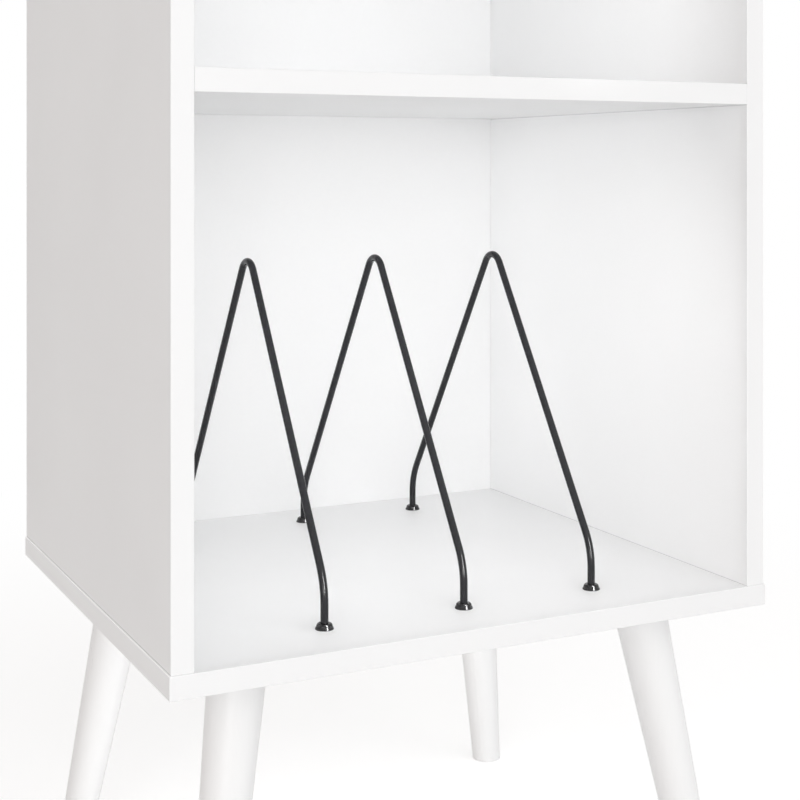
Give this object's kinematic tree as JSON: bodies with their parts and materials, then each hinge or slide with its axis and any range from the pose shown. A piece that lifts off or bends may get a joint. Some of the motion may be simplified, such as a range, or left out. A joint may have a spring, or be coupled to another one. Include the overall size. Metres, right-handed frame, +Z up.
{
  "type": "record storage stand",
  "caption": "Open cabinet on splayed tapered legs, with an upper compartment and, below its shelf, upright bent-wire dividers that keep records standing.",
  "frame": {"origin": "on the floor, under the centre of the cabinet's bounding box", "axes": "+Z up, -Y out of the open front, +X towards the cabinet's right side as seen from the front"},
  "size_m": [0.452, 0.383, 0.824],
  "materials": {
    "melamine_board": "white melamine-faced particle board, satin",
    "hardboard": "white-lacquered hardboard, satin",
    "painted_leg": "turned wood, white paint, semi-gloss",
    "black_wire": "black powder coat, glossy",
    "black_ferrule": "black moulded plastic, glossy",
    "glide": "grey moulded plastic, matt",
    "zinc_steel": "zinc-plated steel",
    "cast_zinc": "die-cast zinc, bare",
    "beech": "plain beech, fluted when real",
    "cap_white": "white moulded plastic"
  },
  "bodies": {
    "root": {"bottom_board": "melamine_board", "top_board": "melamine_board", "left_side": "melamine_board", "right_side": "melamine_board", "shelf": "melamine_board", "back_panel": "hardboard", "leg_front_left": "painted_leg", "leg_front_right": "painted_leg", "leg_back_left": "painted_leg", "leg_back_right": "painted_leg", "leg_plate_front_left": "zinc_steel", "leg_plate_front_right": "zinc_steel", "leg_plate_back_left": "zinc_steel", "leg_plate_back_right": "zinc_steel", "foot_glide_front_left": "glide", "foot_glide_front_right": "glide", "foot_glide_back_left": "glide", "foot_glide_back_right": "glide", "divider_left": "black_wire", "divider_middle": "black_wire", "divider_right": "black_wire", "ferrule_left_front": "black_ferrule", "ferrule_left_back": "black_ferrule", "ferrule_middle_front": "black_ferrule", "ferrule_middle_back": "black_ferrule", "ferrule_right_front": "black_ferrule", "ferrule_right_back": "black_ferrule", "leg_screws": "zinc_steel", "plate_screws": "zinc_steel", "base_screws": "zinc_steel", "base_dowels": "beech", "top_cam_bolts": "zinc_steel", "top_cam_locks": "cast_zinc", "top_dowels": "beech", "shelf_cam_bolts": "zinc_steel", "shelf_cam_locks": "cast_zinc", "shelf_dowels": "beech", "cam_covers": "cap_white"}
  },
  "joints": []
}
